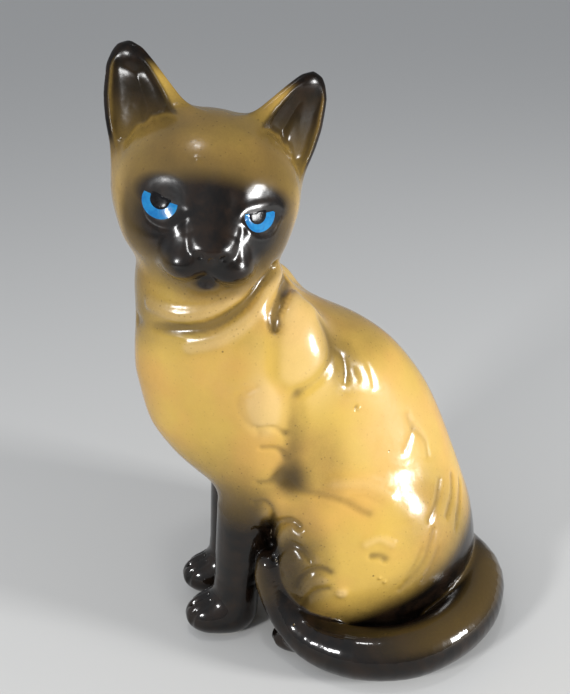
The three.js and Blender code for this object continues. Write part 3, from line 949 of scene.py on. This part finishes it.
def cells(tree, spot, scale, channel, cutoff):
    """Distance to the nearest cell's middle, and 1 where one colour of the cell is high."""
    node = add(tree, "ShaderNodeTexVoronoi", {"Vector": spot, "Scale": scale})
    parts = add(tree, "ShaderNodeSeparateColor", {"Color": node.outputs["Color"]})
    picked = calc(tree, "GREATER_THAN", parts.outputs[channel], cutoff)
    return node.outputs["Distance"], picked


def soft_edge(tree, amount, gain):
    """Largest where an amount is half way between 0 and 1."""
    return product(tree, amount, calc(tree, "SUBTRACT", 1.0, amount), gain)


def glaze(name, coat_weight, coat_roughness):
    """Airbrushed underglaze under a clear gloss coat; bare clay underneath the figure."""
    material, tree, shader = new_material(name)
    spot = add(tree, "ShaderNodeTexCoord").outputs["Object"]
    amounts = add(tree, "ShaderNodeAttribute", attribute_name="paint")
    split = add(tree, "ShaderNodeSeparateColor", {"Color": amounts.outputs["Color"]})
    brown, seal, cream = split.outputs
    bare = amounts.outputs["Alpha"]

    cloud = noise(tree, spot, 38, 2)
    mottle = noise(tree, spot, 170, 4, 0.6)
    mist = noise(tree, spot, 1500, 2, 0.7)

    # the airbrush's soft edges wander and break into mist and a few larger drops
    wander = calc(tree, "MULTIPLY_ADD", mottle, 0.22, -0.11)
    grain = calc(tree, "MULTIPLY_ADD", mist, 0.20, -0.10)
    astray = calc(tree, "ADD", wander, grain)
    drop_gap, chosen_drop = cells(tree, spot, 620.0, 0, 0.6)
    spatter = product(tree, calc(tree, "LESS_THAN", drop_gap, 0.2), chosen_drop)
    edge = soft_edge(tree, brown, 4.0)
    stray = product(tree, astray, calc(tree, "ADD", edge, 0.12))
    dots = product(tree, spatter, edge, 0.22)
    brown_amount = calc(tree, "ADD", calc(tree, "ADD", brown, stray), dots, clamp=True)
    seal_stray = product(tree, astray, soft_edge(tree, seal, 3.0))
    seal_amount = calc(tree, "ADD", seal, seal_stray, clamp=True)

    honey = blend(tree, ramp(tree, cloud, 0.38, 0.66), HONEY, HONEY_WARM)
    green = ramp(tree, noise(tree, spot, 24, 2), 0.5, 0.72)
    honey = blend(tree, product(tree, green, 0.35), honey, HONEY_GREEN)
    # the cream amount brings in painted highlight on the folds and the shoulder, and the brown
    # amount painted shade in the grooves and behind the foreleg, besides the glaze's own colours
    honey = blend(tree, product(tree, cream, 0.75), honey, CREAM)
    colour = blend(tree, brown_amount, honey, OLIVE)
    dark = blend(tree, ramp(tree, mottle, 0.35, 0.75), SEAL, SEAL_BROWN)
    colour = blend(tree, seal_amount, colour, dark)

    # pinholes and iron specks of the firing
    pin_gap, chosen_pin = cells(tree, spot, 105.0, 1, 0.72)
    pin = product(tree, ramp(tree, pin_gap, 0.055, 0.03), chosen_pin)
    colour = blend(tree, product(tree, pin, 0.75), colour, OLIVE)
    clay = blend(tree, ramp(tree, mottle, 0.3, 0.7), BARE_CLAY, CLAY_SHADE)

    gloss = calc(tree, "MULTIPLY_ADD", mottle, 0.12, 0.16)
    rough = calc(tree, "ADD", gloss, product(tree, bare, 0.55), clamp=True)
    slow_ripple, fast_ripple = noise(tree, spot, 130, 2), noise(tree, spot, 420, 2)
    ripple = calc(tree, "MULTIPLY_ADD", fast_ripple, 0.22, slow_ripple)
    height = calc(tree, "MULTIPLY_ADD", pin, -0.5, ripple)
    bump = add(tree, "ShaderNodeBump", {"Strength": 0.25, "Distance": 0.0006, "Height": height})
    feed(tree, shader, {
        "Base Color": blend(tree, bare, colour, clay), "Roughness": rough,
        "Specular IOR Level": UNDER_SPECULAR, "Coat Weight": coat_weight,
        "Coat Roughness": coat_roughness, "Coat IOR": COAT_IOR,
        "Normal": bump.outputs["Normal"], "Coat Normal": bump.outputs["Normal"]})
    return material


def enamel(name, colour, second, scale, coat_weight):
    """Brush-painted gloss enamel with a little streaking."""
    material, tree, shader = new_material(name)
    spot = add(tree, "ShaderNodeTexCoord").outputs["Object"]
    streak = noise(tree, spot, scale, 3, 0.6, 0.8)
    bump = add(tree, "ShaderNodeBump", {"Strength": 0.3, "Distance": 0.0002, "Height": streak})
    feed(tree, shader, {
        "Base Color": blend(tree, ramp(tree, streak, 0.3, 0.7), colour, second),
        "Roughness": calc(tree, "MULTIPLY_ADD", streak, 0.12, 0.14),
        "Specular IOR Level": ENAMEL_SPECULAR, "Coat Weight": coat_weight,
        "Coat Roughness": ENAMEL_COAT_ROUGHNESS, "Normal": bump.outputs["Normal"]})
    return material


slots = {row["node"]: row["material_slot"] for row in frame["record"]["subparts"]}
materials = {slot: glaze(slot, *coat) for slot, coat in GLAZE_COATS.items()}
materials["blue_enamel"] = enamel("blue_enamel", BLUE, BLUE_PALE, 420, 0.2)
materials["black_enamel"] = enamel("black_enamel", BLACK, BLACK_PALE, 500, 0.1)


def place(piece, node):
    piece.data.materials.append(materials[slots[node]])
    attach(piece, "root")
    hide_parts(node)


for number, node in enumerate(PIECES, 1):
    place(make_piece(number, node + "_glaze"), node)

# ------------------------------------------------------------------ painted eyes

IRIS_RADIUS, IRIS_CROWN = 5.9, 0.16
PUPIL_RADIUS, PUPIL_CROWN = 3.5, 0.32
EDGE_SINK = 0.12  # a lens's edge goes this far under the skin
LENS_DEPTH = 0.45
PUPIL_LID_RISE = 1.2
EYES = [  # side, middle of the iris, middle of the pupil, across and up the face
    ("left", (14.6, 0.7), (13.6, 0.8)), ("right", (-17.3, 0.6), (-17.2, 1.2)),
]


def on_face(s, u):
    """The body-frame points of the face ahead of (s, u), and the normals there."""
    near, far = np.full(len(s), 4.0), np.full(len(s), 40.0)
    for _ in range(26):
        f = (near + far) / 2
        points = np.stack([f, s, u], 1) @ HEAD_TURN.T + HEAD_CENTRE
        out = fine_field(points) > 0
        near, far = np.where(out, near, f), np.where(out, f, far)
    g = gradient(fine_field, points)
    return points, g / np.linalg.norm(g, axis=1)[:, None]


def patch(name, middle, reach, crown, rings=10, around=56):
    """A thin closed lens of enamel on the face; reach(angle) is its outline."""
    angles = np.arange(around) / around * 2 * math.pi
    radius = reach(angles)
    s, u, lift = [middle[0]], [middle[1]], [crown]
    for ring in range(1, rings + 1):
        t = ring / rings
        s += list(middle[0] + radius * t * np.cos(angles))
        u += list(middle[1] + radius * t * np.sin(angles))
        lift += [crown * (1 - t ** 6) - EDGE_SINK * t ** 6] * around
    points, outward = on_face(np.array(s), np.array(u))
    top = points + outward * np.array(lift)[:, None]
    under = points - outward * LENS_DEPTH
    count = len(s)
    rows = np.vstack([top, under])
    faces = []
    for k in range(around):
        n = (k + 1) % around
        faces.append([0, 1 + k, 1 + n])
        faces.append([count, count + 1 + n, count + 1 + k])
        for ring in range(rings - 1):
            a, b = 1 + ring * around, 1 + (ring + 1) * around
            faces.append([a + k, b + k, b + n, a + n])
            faces.append([count + a + n, count + b + n, count + b + k, count + a + k])
        edge = 1 + (rings - 1) * around
        faces.append([edge + k, count + edge + k, count + edge + n, edge + n])
    mesh = bpy.data.meshes.new(name)
    mesh.from_pydata(to_frame(rows).tolist(), [], faces)
    mesh.update()
    mesh.polygons.foreach_set("use_smooth", np.ones(len(faces), bool))
    return link_object(name, mesh)


def below_lid(radius, middle, lid):
    """A disc's outline cut off by the eyelid, a curve u = lid(s)."""
    def reach(angles):
        r = np.full(len(angles), float(radius))
        rise = np.maximum(np.sin(angles), 0.02)
        for _ in range(3):
            room = np.maximum(lid(middle[0] + r * np.cos(angles)) - middle[1], 0.4)
            r = np.where(rise > 0.02, np.minimum(r, room / rise), r)
        return r
    return reach


def lid(s):
    """The upper eyelid's edge, rising towards the outer corner."""
    return 1.6 + 0.26 * (np.abs(s) - 16.5)


def pupil_lid(s):
    return lid(s) + PUPIL_LID_RISE


for label, iris, pupil in EYES:
    eye = patch(label + "_iris_paint", iris, below_lid(IRIS_RADIUS, iris, lid), IRIS_CROWN)
    place(eye, label + "_iris")
    dot = patch(label + "_pupil_paint", pupil, below_lid(PUPIL_RADIUS, pupil, pupil_lid),
                PUPIL_CROWN, 6, 36)
    place(dot, label + "_pupil")

# ------------------------------------------------------------------ floor, light, camera

FLOOR_SIZE, FLOOR_GAP = 14, 0.0005
FLOOR_GREY = (0.60, 0.60, 0.59, 1)
SKY_TINT = (0.92, 0.95, 1.0, 1)
SKY_TOWARDS = (0.25, -0.80, 0.55)  # the brighter side of the sky
SKY_RISE, SKY_BASE = 0.40, 0.28

bpy.ops.mesh.primitive_plane_add(size=FLOOR_SIZE, location=(0, 0, CAD_BOX[0][2] - FLOOR_GAP))
floor = bpy.context.object
floor.name = "floor"
paper, paper_tree, paper_shader = new_material("paper")
feed(paper_tree, paper_shader, {"Base Color": FLOOR_GREY, "Roughness": 0.9})
floor.data.materials.append(paper)

world = bpy.data.worlds.new("studio")
bpy.context.scene.world = world
world.use_nodes = True
sky = world.node_tree
towards = add(sky, "ShaderNodeTexCoord").outputs["Generated"]
facing = add(sky, "ShaderNodeVectorMath", {0: towards, 1: SKY_TOWARDS}, operation="DOT_PRODUCT")
glow = ramp(sky, facing.outputs["Value"], -0.2, 1.0)
feed(sky, sky.nodes["Background"], {
    "Color": SKY_TINT, "Strength": calc(sky, "MULTIPLY_ADD", glow, SKY_RISE, SKY_BASE)})
bpy.context.scene.view_settings.view_transform = "Standard"

LIGHTS = [  # name, place, aim, size, power
    ("window", (0.48, 0.76, 0.22), (0, 0, 0.1), (0.15, 0.19), 10.5),
    ("side", (0.44, -0.66, 0.36), (0, -0.02, 0.1), (0.12, 0.12), 4.4),
    ("skylight", (0.12, -0.10, 1.0), (0, 0, 0.1), (0.07, 0.07), 0.8),
]
for name, spot, aim, size, power in LIGHTS:
    light = bpy.data.lights.new(name, "AREA")
    light.shape = "RECTANGLE"
    light.size, light.size_y = size
    light.energy = power
    panel = link_object(name, light)
    panel.location = spot
    panel.rotation_euler = (Vector(aim) - Vector(spot)).to_track_quat("-Z", "Y").to_euler()

VIEW_AZIMUTH = math.radians(78)
VIEW_PITCH = math.radians(24.5)
VIEW_ROLL = math.radians(-1.45)
FOCAL_IN_PIXELS = 950
IMAGE_HEIGHT = 694
SENSOR = 36  # along the picture's longer side, its height
BESIDE, AWAY, ABOVE = 5.17, 318.9, 257.0  # the camera's place in design millimetres
look = Vector((-math.sin(VIEW_AZIMUTH), math.cos(VIEW_AZIMUTH), 0))
across = Vector((math.cos(VIEW_AZIMUTH), math.sin(VIEW_AZIMUTH), 0))
eye_point = Vector(to_frame(-across * BESIDE - look * AWAY + Vector((0, 0, ABOVE))))
forward = look * math.cos(VIEW_PITCH) - Vector((0, 0, 1)) * math.sin(VIEW_PITCH)
camera_data = bpy.data.cameras.new("camera")
camera_data.sensor_width = SENSOR
camera_data.lens = SENSOR * FOCAL_IN_PIXELS / IMAGE_HEIGHT
camera_data.clip_start = 0.01
camera = link_object("camera", camera_data)
turn = forward.to_track_quat("-Z", "Y").to_matrix().to_4x4()
camera.matrix_world = Matrix.Translation(eye_point) @ turn @ Matrix.Rotation(VIEW_ROLL, 4, "Z")
bpy.context.scene.camera = camera
